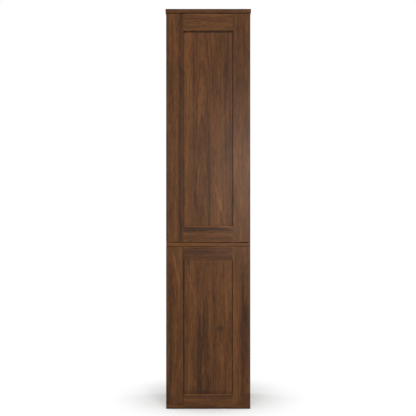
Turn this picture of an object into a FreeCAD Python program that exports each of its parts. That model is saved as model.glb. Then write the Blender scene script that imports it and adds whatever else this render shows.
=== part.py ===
import FreeCAD
import Part
import Sketcher
import math
import os

# Tall narrow cupboard with two framed doors, one above the other, and no handles.
# Millimetres, +Z up, front towards -Y, origin on the floor under the middle of the cabinet.

sizes = (
    # Carcass boards
    ("overall_height", 1829),
    ("body_width", 385),
    ("cabinet_depth", 390),
    ("top_overhang", 3),
    ("top_thick", 18),
    ("mid_thick", 18),
    ("bottom_thick", 18),
    ("side_thick", 18),
    ("mid_underside", 743),
    ("edge_ease", 1),
    ("back_thick", 5),
    ("back_lap", 9),
    ("back_slack", 0.5),
    # Floor glides
    ("glide_radius", 12),
    ("glide_recess", 3),
    ("glide_proud", 1),
    ("glide_inset", 40),
    # Doors
    ("door_thick", 18),
    ("door_gap", 3),
    ("upper_reveal", 2),
    ("lower_reveal", 1),
    ("stile_width", 80),
    ("upper_top_rail", 80),
    ("upper_bottom_rail", 73),
    ("lower_top_rail", 60),
    ("lower_bottom_rail", 47),
    ("panel_recess", 8),
    ("panel_thick", 6),
    ("panel_float", 1),
    ("groove_depth", 10),
    ("groove_slack", 0.2),
    ("frame_chamfer", 2),
    # Shelves and their pins
    ("shelf_thick", 16),
    ("shelf_slack", 1),
    ("shelf_behind_hinges", 2),
    ("pin_radius", 2.5),
    ("pin_depth", 9),
    ("pin_column_inset", 30),
    ("pin_row_inset", 141),
    ("upper_pin_rows", 13),
    ("lower_pin_rows", 8),
    ("tongue_length", 8),
    ("tongue_width", 8),
    ("tongue_thick", 3),
    # Carcass fittings
    ("cam_radius", 7.5),
    ("cam_depth", 12.5),
    ("cam_set", 34),
    ("cam_inset", 50),
    ("cam_stagger", 16),
    ("bolt_thread_radius", 3),
    ("bolt_thread_length", 11),
    ("bolt_neck_radius", 2),
    ("bolt_head_radius", 3),
    ("bolt_head_length", 4),
    ("dowel_radius", 4),
    ("dowel_length", 30),
    ("dowel_in_board", 11),
    ("dowel_step", 32),
    ("fitting_clear", 0.1),
    # Screws
    ("screw_radius", 1.75),
    ("screw_head_radius", 3.5),
    ("screw_head_height", 2),
    ("screw_clear", 0.1),
    ("recess_span", 4),
    ("recess_width", 0.9),
    ("recess_depth", 1.2),
    ("wood_screw_length", 14),
    ("arm_screw_length", 4),
    ("back_screw_length", 18),
    ("back_screw_inset", 60),
    ("upper_back_rows", 4),
    ("lower_back_rows", 3),
    # Hinges
    ("hinge_inset", 100),
    ("cup_radius", 17.5),
    ("cup_depth", 13),
    ("cup_wall", 1),
    ("cup_edge", 3),
    ("flange_radius", 19),
    ("flange_thick", 1),
    ("wing_length", 60),
    ("wing_width", 14),
    ("wing_offset", 6),
    ("cup_screw_gap", 48),
    ("swing_clear", 0.4),
    ("pivot_depth", 9),
    ("pivot_radius", 1.2),
    ("pivot_clear", 0.05),
    ("eye_radius", 2.4),
    ("eye_length", 8),
    ("crank_thick", 1.8),
    ("arm_gauge", 2),
    ("arm_width", 14),
    ("plate_thick", 2.5),
    ("plate_setback", 11),
    ("plate_length", 42),
    ("plate_width", 20),
    ("plate_wing_length", 50),
    ("plate_wing_width", 14),
    ("plate_screw_inset", 37),
    ("plate_screw_gap", 32),
    ("arm_screw_inset", 21),
    # Press-to-open latches
    ("latch_inset", 24),
    ("latch_setback", 2),
    ("latch_width", 15),
    ("latch_length", 76),
    ("latch_height", 18),
    ("latch_drop", 10),
    ("latch_bore_depth", 54),
    ("latch_ear_width", 34),
    ("latch_ear_length", 16),
    ("latch_ear_thick", 2.5),
    ("latch_screw_gap", 25),
    ("plunger_radius", 5),
    ("plunger_clear", 0.05),
    ("plunger_length", 32),
    ("plunger_nose", 1),
    ("plunger_gap", 0.3),
    ("strike_width", 20),
    ("strike_height", 9),
    ("strike_thick", 1),
    ("spring_radius", 3.8),
    ("spring_wire_radius", 0.4),
    ("spring_turns", 6),
    # Wall bracket
    ("bracket_width", 50),
    ("bracket_leg", 40),
    ("bracket_thick", 2),
    ("bracket_hole_gap", 28),
    ("bracket_hole_inset", 22),
    ("wall_hole_radius", 2.75),
    ("wall_hole_in_back", 3.5),
)

places = (
    # Planes of the carcass
    ("rear", "Sizes.cabinet_depth / 2"),
    ("half_width", "Sizes.body_width / 2"),
    ("side_inner", "half_width - Sizes.side_thick"),
    ("side_middle", "half_width - Sizes.side_thick / 2"),
    ("top_front", "-Sizes.cabinet_depth / 2"),
    ("door_front", "top_front + Sizes.top_overhang"),
    ("door_back", "door_front + Sizes.door_thick"),
    ("side_front", "door_back + Sizes.door_gap"),
    ("back_front", "rear - Sizes.back_thick"),
    ("bottom_top", "Sizes.glide_proud + Sizes.bottom_thick"),
    ("mid_top", "Sizes.mid_underside + Sizes.mid_thick"),
    ("top_low", "Sizes.overall_height - Sizes.top_thick"),
    # Doors
    ("lower_door_low", "bottom_top + Sizes.lower_reveal"),
    ("lower_door_high", "Sizes.mid_underside - Sizes.lower_reveal"),
    ("upper_door_low", "mid_top + Sizes.upper_reveal"),
    ("upper_door_high", "top_low - Sizes.upper_reveal"),
    ("stile_edge", "half_width - Sizes.stile_width"),
    ("groove_front", "door_front + Sizes.panel_recess - Sizes.groove_slack / 2"),
    ("groove_back", "door_front + Sizes.panel_recess + Sizes.panel_thick + Sizes.groove_slack / 2"),
    # Hinges
    ("pivot_edge", "sqrt(Sizes.door_gap ^ 2 + 2 * Sizes.pivot_depth * Sizes.door_gap) - Sizes.swing_clear"),
    ("pivot_x", "-half_width + pivot_edge"),
    ("pivot_y", "door_back - Sizes.pivot_depth"),
    ("cup_x", "-half_width + Sizes.cup_edge + Sizes.cup_radius"),
    ("pivot_half", "sqrt(Sizes.cup_radius ^ 2 - (cup_x - pivot_x + Sizes.pivot_radius) ^ 2)"),
    ("arm_x", "-side_inner + Sizes.plate_thick"),
    ("plate_front", "side_front + Sizes.plate_setback"),
    ("plate_rear", "plate_front + Sizes.plate_length"),
    ("plate_screw_y", "side_front + Sizes.plate_screw_inset"),
    ("arm_screw_y", "side_front + Sizes.arm_screw_inset"),
    # Shelves
    ("shelf_front", "plate_rear + Sizes.shelf_behind_hinges"),
    ("shelf_rear", "back_front - Sizes.shelf_slack"),
    ("pin_front_y", "shelf_front + Sizes.pin_column_inset"),
    ("pin_rear_y", "shelf_rear - Sizes.pin_column_inset"),
    ("upper_bay_height", "top_low - mid_top"),
    ("lower_bay_height", "Sizes.mid_underside - bottom_top"),
    ("upper_pin_pitch", "(upper_bay_height - 2 * Sizes.pin_row_inset) / (Sizes.upper_pin_rows - 1)"),
    ("lower_pin_pitch", "(lower_bay_height - 2 * Sizes.pin_row_inset) / (Sizes.lower_pin_rows - 1)"),
    # Carcass fittings, counted inwards from the front and rear edges of the sides
    ("lower_cam_front", "side_front + Sizes.cam_inset"),
    ("lower_cam_rear", "rear - Sizes.cam_inset"),
    ("upper_cam_front", "lower_cam_front + Sizes.cam_stagger"),
    ("upper_cam_rear", "lower_cam_rear - Sizes.cam_stagger"),
    # Latches
    ("latch_x", "side_inner - Sizes.latch_inset"),
    ("latch_front", "side_front + Sizes.latch_setback"),
    ("latch_middle", "latch_front + Sizes.latch_length / 2"),
    ("bore_end", "latch_front + Sizes.latch_bore_depth"),
    ("plunger_tip", "door_back + Sizes.strike_thick + Sizes.plunger_gap"),
    ("plunger_rear", "plunger_tip + Sizes.plunger_length"),
    # Wall bracket
    ("bracket_hole_y", "back_front - Sizes.bracket_hole_inset"),
    ("bracket_hole_z", "top_low - Sizes.bracket_hole_inset"),
)

doc = FreeCAD.newDocument("tall_cabinet")


def fill_sheet(name, rows, prefix):
    """A sheet of named values, one to a row."""
    sheet = doc.addObject("Spreadsheet::Sheet", name)
    for row, (alias, content) in enumerate(rows, start=1):
        sheet.set(f"A{row}", alias)
        sheet.set(f"B{row}", f"{prefix}{content}")
        sheet.setAlias(f"B{row}", alias)
    return sheet


size_sheet = fill_sheet("Sizes", sizes, "")
place_sheet = fill_sheet("Places", places, "=")
doc.recompute()

nodes = []


def name_node(piece, label):
    """Give a finished piece the name of its node."""
    piece.Label = label
    nodes.append(piece)
    return piece


def value(text):
    """The number that an expression on the named values comes to."""
    return float(size_sheet.evalExpression(text))


# Boards: solid and veneered pieces that are sawn, grooved and bored.

# Each direction across a board: its plane, that plane's two axes, and the side that its normal points to.
planes = {
    "x": ("YZ_Plane", "yz", "+"),
    "y": ("XZ_Plane", "xz", "-"),
    "z": ("XY_Plane", "xy", "+"),
}
corners = {}


def sketch_at(body, across, level):
    """A sketch square to one direction, at a level given in the cabinet's frame."""
    role, _, sign = planes[across]
    plane = next(item for item in body.Origin.OriginFeatures if item.Role == role)
    sketch = body.newObject("Sketcher::SketchObject", f"{body.Name}_sketch")
    sketch.AttachmentSupport = [(plane, "")]
    sketch.MapMode = "FlatFace"
    sketch.setExpression("AttachmentOffset.Base.z", f"0 {sign} (({level}) - ({corners[body.Name][across]}))")
    return sketch


def pin_point(sketch, body, across, geometry, point, spot):
    """Hold a point of a sketch at a spot given in the cabinet's frame."""
    for kind, axis, text in zip(("DistanceX", "DistanceY"), planes[across][1], spot):
        local = f"({text}) - ({corners[body.Name][axis]})"
        index = sketch.addConstraint(Sketcher.Constraint(kind, -1, 1, geometry, point, value(local)))
        sketch.setExpression(f"Constraints[{index}]", local)


def draw_outline(body, across, level, spots):
    """A closed outline of straight lines through the spots."""
    sketch = sketch_at(body, across, level)
    axes = planes[across][1]
    points = []
    for spot in spots:
        local = [value(f"({text}) - ({corners[body.Name][axis]})") for axis, text in zip(axes, spot)]
        points.append(FreeCAD.Vector(*local, 0))
    count = len(points)
    for index in range(count):
        sketch.addGeometry(Part.LineSegment(points[index], points[(index + 1) % count]), False)
    for index in range(count):
        sketch.addConstraint(Sketcher.Constraint("Coincident", index, 2, (index + 1) % count, 1))
    for index, spot in enumerate(spots):
        pin_point(sketch, body, across, index, 1, spot)
    return sketch


def draw_rectangle(body, across, level, low, high):
    """A rectangle between two opposite corners."""
    return draw_outline(body, across, level, (low, (high[0], low[1]), high, (low[0], high[1])))


def draw_circles(body, across, level, spots, radius):
    """Equal circles, one on each spot."""
    sketch = sketch_at(body, across, level)
    for spot in spots:
        circle = Part.Circle(FreeCAD.Vector(), FreeCAD.Vector(0, 0, 1), value(radius))
        geometry = sketch.addGeometry(circle, False)
        index = sketch.addConstraint(Sketcher.Constraint("Radius", geometry, value(radius)))
        sketch.setExpression(f"Constraints[{index}]", radius)
        pin_point(sketch, body, across, geometry, 3, spot)
    return sketch


def add_pad(body, across, sketch, length, toward):
    """Raise a sketch into wood, toward the plus or minus side of its direction."""
    pad = body.newObject("PartDesign::Pad", f"{body.Name}_pad")
    pad.Profile = sketch
    pad.setExpression("Length", length)
    pad.Reversed = toward != planes[across][2]
    doc.recompute()
    return pad


def add_pocket(body, across, sketch, depth, toward):
    """Cut a sketch into the wood, and make sure that the cut took something away."""
    before = body.Shape.Volume
    pocket = body.newObject("PartDesign::Pocket", f"{body.Name}_pocket")
    pocket.Profile = sketch
    pocket.setExpression("Length", depth)
    pocket.Reversed = toward == planes[across][2]
    doc.recompute()
    if body.Shape.Volume >= before:
        raise ValueError(f"a cut in {body.Name} missed the wood")
    return pocket


def drill(body, across, level, spots, radius, depth, toward):
    """Round holes of one depth, bored from a level."""
    return add_pocket(body, across, draw_circles(body, across, level, spots, radius), depth, toward)


def ease_edges(body, wanted):
    """Take the sharpness off the edges whose middle, in the piece's own frame, is wanted."""
    base = body.Tip
    names = []
    for index, edge in enumerate(base.Shape.Edges, start=1):
        if wanted(edge.CenterOfMass):
            names.append(f"Edge{index}")
    chamfer = body.newObject("PartDesign::Chamfer", f"{body.Name}_ease")
    chamfer.Base = (base, names)
    chamfer.setExpression("Size", "Sizes.edge_ease")
    doc.recompute()


def start_board(label, low):
    """An empty piece whose own corner lies at low."""
    body = doc.addObject("PartDesign::Body", label)
    for key, text in zip("xyz", low):
        body.setExpression(f"Placement.Base.{key}", text)
    corners[body.Name] = dict(zip("xyz", low))
    return name_node(body, label)


def make_board(label, low, high):
    """A squared board between two corners, with eased edges."""
    body = start_board(label, low)
    sketch = draw_rectangle(body, "z", low[2], low[:2], high[:2])
    add_pad(body, "z", sketch, f"({high[2]}) - ({low[2]})", "+")
    ease_edges(body, lambda middle: True)
    return body


# Hardware: turned, pressed and moulded pieces.

turns = {
    "+x": FreeCAD.Rotation(FreeCAD.Vector(0, 1, 0), 90),
    "-x": FreeCAD.Rotation(FreeCAD.Vector(0, 1, 0), -90),
    "+y": FreeCAD.Rotation(FreeCAD.Vector(1, 0, 0), -90),
    "-y": FreeCAD.Rotation(FreeCAD.Vector(1, 0, 0), 90),
    "+z": FreeCAD.Rotation(),
    "-z": FreeCAD.Rotation(FreeCAD.Vector(1, 0, 0), 180),
}


def seat(piece, spot, along="+z"):
    """Put a piece's own origin at a spot, with its own +Z along a direction."""
    piece.Placement = FreeCAD.Placement(FreeCAD.Vector(), turns[along])
    for key, text in zip("xyz", spot):
        piece.setExpression(f"Placement.Base.{key}", text)
    return piece


def make_rod(spot, along, radius, length):
    """A round bar from a spot."""
    rod = doc.addObject("Part::Cylinder", "rod")
    rod.setExpression("Radius", radius)
    rod.setExpression("Height", length)
    return seat(rod, spot, along)


def make_taper(spot, along, near_radius, far_radius, length):
    """A round bar that tapers away from a spot."""
    taper = doc.addObject("Part::Cone", "taper")
    taper.setExpression("Radius1", near_radius)
    taper.setExpression("Radius2", far_radius)
    taper.setExpression("Height", length)
    return seat(taper, spot, along)


def make_block(low, high):
    """A square block between two corners."""
    block = doc.addObject("Part::Box", "block")
    for side, start, end in zip(("Length", "Width", "Height"), low, high):
        block.setExpression(side, f"({end}) - ({start})")
    return seat(block, low)


def join(pieces):
    """Pieces that are made as one."""
    joined = doc.addObject("Part::MultiFuse", "joined")
    joined.Shapes = pieces
    joined.Refine = True
    return joined


def cut_from(piece, tools):
    """A piece with holes or slots cut away."""
    cut = doc.addObject("Part::Cut", "cut")
    cut.Base = piece
    cut.Tool = tools[0] if len(tools) == 1 else join(tools)
    return cut


def copy_of(pattern, spot, along="+z"):
    """One more of a fitting, at its own spot."""
    copy = doc.addObject("App::Link", "copy")
    copy.LinkedObject = pattern
    return seat(copy, spot, along)


def group(label, pieces):
    """Like pieces that share a node, each its own solid."""
    gathered = doc.addObject("Part::Compound", label)
    gathered.Links = pieces
    return name_node(gathered, label)


def pair(text):
    """Plus and minus a half of a gap."""
    return (f"-({text}) / 2", f"({text}) / 2")


def make_screw(length):
    """A pan-head wood screw with a cross recess, pointing along its own +Z."""
    shank = make_rod(("0", "0", "0"), "+z", "Sizes.screw_radius", length)
    head = make_rod(("0", "0", "0"), "-z", "Sizes.screw_head_radius", "Sizes.screw_head_height")
    span = pair("Sizes.recess_span")
    width = pair("Sizes.recess_width")
    face = "-Sizes.screw_head_height"
    floor = "-Sizes.screw_head_height + Sizes.recess_depth"
    slots = [
        make_block((span[0], width[0], face), (span[1], width[1], floor)),
        make_block((width[0], span[0], face), (width[1], span[1], floor)),
    ]
    return cut_from(join([shank, head]), slots)


screw_hole = "Sizes.screw_radius + Sizes.screw_clear"
wood_screw = make_screw("Sizes.wood_screw_length")
pilot_depth = "Sizes.wood_screw_length + Sizes.screw_clear"

# Carcass: three full-width boards and four standing sides between them.

outer_left = "-Places.half_width"
outer_right = "Places.half_width"
board_depth = ("Places.door_front", "Places.rear")

top_board = make_board(
    "top_board",
    (f"{outer_left} - Sizes.top_overhang", "Places.top_front", "Places.top_low"),
    (f"{outer_right} + Sizes.top_overhang", "Places.rear", "Sizes.overall_height"),
)
mid_board = make_board(
    "mid_board",
    (outer_left, board_depth[0], "Sizes.mid_underside"),
    (outer_right, board_depth[1], "Places.mid_top"),
)
bottom_board = make_board(
    "bottom_board",
    (outer_left, board_depth[0], "Sizes.glide_proud"),
    (outer_right, board_depth[1], "Places.bottom_top"),
)

hands = {"left": "-", "right": "+"}
bays = {
    "upper": ("Places.mid_top", "Places.top_low", mid_board, top_board),
    "lower": ("Places.bottom_top", "Sizes.mid_underside", bottom_board, mid_board),
}


def hand_x(hand, text):
    """A distance from the middle, on the left or right."""
    return text if hands[hand] == "+" else f"-({text})"


def side_inner(hand):
    """The inner face of a side."""
    return hand_x(hand, "Places.side_inner")


sides = {}
for bay, (low, high, _, _) in bays.items():
    for hand in hands:
        faces = sorted((side_inner(hand), hand_x(hand, "Places.half_width")), key=value)
        sides[bay, hand] = make_board(
            f"{bay}_side_{hand}",
            (faces[0], "Places.side_front", low),
            (faces[1], "Places.rear", high),
        )
        rebate = draw_rectangle(
            sides[bay, hand], "x", side_inner(hand), ("Places.back_front", low), ("Places.rear", high)
        )
        add_pocket(sides[bay, hand], "x", rebate, "Sizes.back_lap", hands[hand])

# Fittings of the carcass joints: at each end of each side, two cams with their bolts, and two dowels.


def make_cam():
    """A cam lock: a slotted disc along its own +Z, with a hole through it for the bolt's head."""
    disc = make_rod(("0", "0", "0"), "+z", "Sizes.cam_radius", "Sizes.cam_depth")
    middle = "Sizes.side_thick / 2"
    passage = make_rod(
        ("-Sizes.cam_radius", "0", middle), "+x", "Sizes.bolt_head_radius + Sizes.fitting_clear",
        "2 * Sizes.cam_radius",
    )
    span = pair("2 * Sizes.recess_span")
    width = pair("2 * Sizes.recess_width")
    slots = [
        make_block((span[0], width[0], "0"), (span[1], width[1], "Sizes.recess_depth")),
        make_block((width[0], span[0], "0"), (width[1], span[1], "Sizes.recess_depth")),
    ]
    return cut_from(disc, [passage] + slots)


def make_cam_bolt():
    """A cam bolt: thread below its own origin, neck and head above it."""
    thread = make_rod(("0", "0", "0"), "-z", "Sizes.bolt_thread_radius", "Sizes.bolt_thread_length")
    neck = make_rod(("0", "0", "0"), "+z", "Sizes.bolt_neck_radius", "Sizes.cam_set")
    head_low = "Sizes.cam_set - Sizes.bolt_head_length / 2"
    head = make_rod(("0", "0", head_low), "+z", "Sizes.bolt_head_radius", "Sizes.bolt_head_length")
    return join([thread, neck, head])


cam = make_cam()
cam_bolt = make_cam_bolt()
dowel_in_side = "Sizes.dowel_length - Sizes.dowel_in_board"
dowel = join([
    make_rod(("0", "0", "0"), "-z", "Sizes.dowel_radius", "Sizes.dowel_in_board"),
    make_rod(("0", "0", "0"), "+z", "Sizes.dowel_radius", dowel_in_side),
])
cams = []
cam_bolts = []
dowels = []
for bay, (low, high, low_board, high_board) in bays.items():
    cam_rows = (f"Places.{bay}_cam_front", f"Places.{bay}_cam_rear")
    dowel_rows = (f"{cam_rows[0]} + Sizes.dowel_step", f"{cam_rows[1]} - Sizes.dowel_step")
    ends = ((low, low_board, "+", "-"), (high, high_board, "-", "+"))
    for level, board, up, down in ends:
        cam_spots = [(hand_x(hand, "Places.side_middle"), row) for hand in hands for row in cam_rows]
        dowel_spots = [(hand_x(hand, "Places.side_middle"), row) for hand in hands for row in dowel_rows]
        thread_hole = "Sizes.bolt_thread_radius + Sizes.fitting_clear"
        dowel_hole = "Sizes.dowel_radius + Sizes.fitting_clear"
        thread_depth = "Sizes.bolt_thread_length + Sizes.fitting_clear"
        drill(board, "z", level, cam_spots, thread_hole, thread_depth, down)
        drill(board, "z", level, dowel_spots, dowel_hole, "Sizes.dowel_in_board + Sizes.fitting_clear", down)
        cam_level = f"{level} {up} Sizes.cam_set"
        for hand, sign in hands.items():
            side = sides[bay, hand]
            middle = hand_x(hand, "Places.side_middle")
            drill(
                side, "x", side_inner(hand), [(row, cam_level) for row in cam_rows],
                "Sizes.cam_radius + Sizes.fitting_clear", "Sizes.cam_depth + Sizes.fitting_clear", sign,
            )
            drill(
                side, "z", level, [(middle, row) for row in cam_rows],
                "Sizes.bolt_head_radius + Sizes.fitting_clear", "Sizes.cam_set", up,
            )
            drill(
                side, "z", level, [(middle, row) for row in dowel_rows], dowel_hole,
                f"{dowel_in_side} + Sizes.fitting_clear", up,
            )
            for row in cam_rows:
                cams.append(copy_of(cam, (side_inner(hand), row, cam_level), f"{sign}x"))
        for x, y in cam_spots:
            cam_bolts.append(copy_of(cam_bolt, (x, y, level), f"{up}z"))
        for x, y in dowel_spots:
            dowels.append(copy_of(dowel, (x, y, level), f"{up}z"))
group("cam_locks", cams)
group("cam_bolts", cam_bolts)
group("dowels", dowels)

# Backs: thin boards cut to stand between the full-width boards, screwed into the rebates of the sides.

back_x = "Places.side_inner + Sizes.back_lap - Sizes.back_slack"
back_screw_x = "Places.side_inner + Sizes.back_lap / 2"


def make_back_screw(spot, slack):
    """A countersunk screw whose head lies flush with the rear, or the hole that takes it."""
    radius = f"Sizes.screw_radius + {slack}"
    sink = f"Sizes.screw_head_height + {slack}"
    head = make_taper(spot, "-y", f"Sizes.screw_head_radius + {slack}", radius, sink)
    shank = make_rod(spot, "-y", radius, f"Sizes.back_screw_length + {slack}")
    return join([head, shank])


back_screws = []
for bay, (low, high, _, _) in bays.items():
    panel = make_block(
        (f"-({back_x})", "Places.back_front", low),
        (back_x, "Places.rear", high),
    )
    rows = f"Sizes.{bay}_back_rows"
    rise = f"({high} - {low} - 2 * Sizes.back_screw_inset) / ({rows} - 1)"
    levels = [f"{low} + Sizes.back_screw_inset + {row} * {rise}" for row in range(int(value(rows)))]
    holes = []
    for hand in hands:
        x = hand_x(hand, back_screw_x)
        drill(
            sides[bay, hand], "y", "Places.back_front", [(x, level) for level in levels], screw_hole,
            "Sizes.back_screw_length - Sizes.back_thick + Sizes.screw_clear", "-",
        )
        for level in levels:
            back_screws.append(make_back_screw((x, "Places.rear", level), "0"))
            holes.append(make_back_screw((x, "Places.rear", level), "Sizes.screw_clear"))
    if bay == "upper":
        for x in pair("Sizes.bracket_hole_gap"):
            holes.append(make_rod(
                (x, "Places.rear", "Places.bracket_hole_z"), "-y",
                "Sizes.wall_hole_in_back", "Sizes.back_thick",
            ))
    name_node(cut_from(panel, holes), f"back_{bay}")
group("back_screws", back_screws)

# Shelves: loose boards, each on four pins in the rows of holes.


def make_shelf_pin():
    """A shelf pin: a peg along its own +Z, and a flat tongue that the shelf lies on."""
    peg = make_rod(("0", "0", "0"), "+z", "Sizes.pin_radius", "Sizes.pin_depth")
    width = pair("Sizes.tongue_width")
    tongue = make_block(
        ("-Sizes.tongue_thick / 2", width[0], "-Sizes.tongue_length"),
        ("Sizes.tongue_thick / 2", width[1], "0"),
    )
    return join([peg, tongue])


shelf_pin = make_shelf_pin()
shelf_pins = []
shelf_rows = {"upper": ("2", "7", "11"), "lower": ("3",)}
shelf_x = "Places.side_inner - Sizes.shelf_slack"
pin_columns = ("Places.pin_front_y", "Places.pin_rear_y")
for bay, (low, _, _, _) in bays.items():

    def pin_level(row):
        """The height of one row of pin holes."""
        return f"{low} + Sizes.pin_row_inset + {row} * Places.{bay}_pin_pitch"

    row_count = int(value(f"Sizes.{bay}_pin_rows"))
    spots = [(column, pin_level(row)) for column in pin_columns for row in range(row_count)]
    for hand, sign in hands.items():
        drill(
            sides[bay, hand], "x", side_inner(hand), spots, "Sizes.pin_radius + Sizes.fitting_clear",
            "Sizes.pin_depth + Sizes.fitting_clear", sign,
        )
    for number, row in enumerate(shelf_rows[bay], start=1):
        underside = f"{pin_level(row)} + Sizes.tongue_thick / 2"
        label = f"{bay}_shelf" if len(shelf_rows[bay]) == 1 else f"{bay}_shelf_{number}"
        make_board(
            label,
            (f"-({shelf_x})", "Places.shelf_front", underside),
            (shelf_x, "Places.shelf_rear", f"{underside} + Sizes.shelf_thick"),
        )
        for hand, sign in hands.items():
            for column in pin_columns:
                shelf_pins.append(copy_of(shelf_pin, (side_inner(hand), column, pin_level(row)), f"{sign}x"))
group("shelf_pins", shelf_pins)

# Floor glides: pads let into the underside of the bottom board.

glide_height = "Sizes.glide_recess + Sizes.glide_proud"
glide_x = "Places.half_width - Sizes.glide_inset"
glide_rows = ("Places.door_front + Sizes.glide_inset", "Places.rear - Sizes.glide_inset")
glide_spots = [(hand_x(hand, glide_x), row) for hand in hands for row in glide_rows]
glides = []
for x, y in glide_spots:
    foot = make_taper(
        (x, y, "0"), "+z", "Sizes.glide_radius - Sizes.glide_proud", "Sizes.glide_radius", "Sizes.glide_proud"
    )
    stem = make_rod((x, y, "Sizes.glide_proud"), "+z", "Sizes.glide_radius", "Sizes.glide_recess")
    glides.append(join([foot, stem]))
drill(
    bottom_board, "z", "Sizes.glide_proud", glide_spots, "Sizes.glide_radius + Sizes.fitting_clear",
    "Sizes.glide_recess", "+",
)
group("floor_glides", glides)

# Doors: grooved stiles and rails round a flat panel, the rails held by stub tenons in the stiles' grooves.

tenon = "Sizes.groove_depth - Sizes.panel_float"
front = "Places.door_front"
behind = "Places.door_back"
stiles = {}
for bay in bays:
    low = f"Places.{bay}_door_low"
    high = f"Places.{bay}_door_high"
    rails = {"bottom": f"{low} + Sizes.{bay}_bottom_rail", "top": f"{high} - Sizes.{bay}_top_rail"}
    opening = f"({rails['top']}) - ({rails['bottom']})"

    for hand, sign in hands.items():
        edge = hand_x(hand, "Places.stile_edge")
        outside = hand_x(hand, "Places.half_width")
        faces = sorted((edge, outside), key=value)
        stile = start_board(f"{bay}_stile_{hand}", (faces[0], front, low))
        blank = draw_rectangle(stile, "z", low, (faces[0], front), (faces[1], behind))
        add_pad(stile, "z", blank, f"{high} - {low}", "+")
        width = value("Sizes.stile_width")
        outer = 0 if sign == "-" else width
        height = value(f"{high} - {low}")
        ease_edges(stile, lambda middle: math.isclose(middle.y, 0, abs_tol=1e-6) and (
            math.isclose(middle.x, outer, abs_tol=1e-6)
            or math.isclose(middle.z, 0, abs_tol=1e-6)
            or math.isclose(middle.z, height, abs_tol=1e-6)
        ))
        groove_floor = f"{edge} {sign} Sizes.groove_depth"
        groove = draw_rectangle(
            stile, "z", low, (edge, "Places.groove_front"), (groove_floor, "Places.groove_back")
        )
        add_pocket(stile, "z", groove, f"{high} - {low}", "+")
        bevel = draw_outline(stile, "z", rails["bottom"], (
            (edge, front),
            (f"{edge} {sign} Sizes.frame_chamfer", front),
            (edge, f"{front} + Sizes.frame_chamfer"),
        ))
        add_pocket(stile, "z", bevel, opening, "+")
        stiles[bay, hand] = stile

    left_edge = "-Places.stile_edge"
    right_edge = "Places.stile_edge"
    for rail, outward in (("bottom", "-"), ("top", "+")):
        inner = rails[rail]
        outer = low if outward == "-" else high
        levels = sorted((inner, outer), key=value)
        piece = start_board(f"{bay}_rail_{rail}", (left_edge, front, levels[0]))
        blank = draw_rectangle(piece, "x", left_edge, (front, levels[0]), (behind, levels[1]))
        add_pad(piece, "x", blank, f"{right_edge} - ({left_edge})", "+")
        outer_z = 0 if outward == "-" else value(f"({levels[1]}) - ({levels[0]})")
        ease_edges(piece, lambda middle: (
            math.isclose(middle.y, 0, abs_tol=1e-6) and math.isclose(middle.z, outer_z, abs_tol=1e-6)
        ))
        groove_floor = f"{inner} {outward} Sizes.groove_depth"
        groove = draw_rectangle(
            piece, "x", left_edge, ("Places.groove_front", inner), ("Places.groove_back", groove_floor)
        )
        add_pocket(piece, "x", groove, f"{right_edge} - ({left_edge})", "+")
        bevel = draw_outline(piece, "x", left_edge, (
            (front, inner),
            (front, f"{inner} {outward} Sizes.frame_chamfer"),
            (f"{front} + Sizes.frame_chamfer", inner),
        ))
        add_pocket(piece, "x", bevel, f"{right_edge} - ({left_edge})", "+")
        for end, toward in ((left_edge, "-"), (right_edge, "+")):
            cheek = draw_rectangle(
                piece, "x", end,
                (f"{front} + Sizes.panel_recess", groove_floor),
                (f"{front} + Sizes.panel_recess + Sizes.panel_thick", outer),
            )
            add_pad(piece, "x", cheek, tenon, toward)

    reach = f"Places.stile_edge + {tenon}"
    panel_front = f"{front} + Sizes.panel_recess"
    panel_low = f"{rails['bottom']} - ({tenon})"
    panel_high = f"{rails['top']} + {tenon}"
    panel = start_board(f"{bay}_panel", (f"-({reach})", panel_front, panel_low))
    sheet = draw_rectangle(panel, "y", panel_front, (f"-({reach})", panel_low), (reach, panel_high))
    add_pad(panel, "y", sheet, "Sizes.panel_thick", "+")

# Concealed hinges on the left: a cup let into the stile, a pin across it, and an arm on a plate on the side.


def make_cup(z):
    """The pressed cup with its wings, open at the back of the door."""
    shell = make_rod(
        ("Places.cup_x", "Places.door_back - Sizes.cup_depth", z), "+y", "Sizes.cup_radius", "Sizes.cup_depth"
    )
    rim = make_rod(("Places.cup_x", "Places.door_back", z), "+y", "Sizes.flange_radius", "Sizes.flange_thick")
    wing_x = "Places.cup_x + Sizes.wing_offset"
    wing = make_block(
        (f"{wing_x} - Sizes.wing_width / 2", "Places.door_back", f"{z} - Sizes.wing_length / 2"),
        (
            f"{wing_x} + Sizes.wing_width / 2", "Places.door_back + Sizes.flange_thick",
            f"{z} + Sizes.wing_length / 2",
        ),
    )
    hollow = make_rod(
        ("Places.cup_x", "Places.door_back - Sizes.cup_depth + Sizes.cup_wall", z), "+y",
        "Sizes.cup_radius - Sizes.cup_wall", "Sizes.cup_depth + Sizes.flange_thick",
    )
    pin_hole = make_rod(
        ("Places.pivot_x", "Places.pivot_y", f"{z} - Places.pivot_half"), "+z",
        "Sizes.pivot_radius", "2 * Places.pivot_half",
    )
    holes = [
        make_rod((wing_x, "Places.door_back", f"{z} + {half}"), "+y", screw_hole, "Sizes.flange_thick")
        for half in pair("Sizes.cup_screw_gap")
    ]
    return cut_from(join([shell, rim, wing]), [hollow, pin_hole] + holes)


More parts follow.
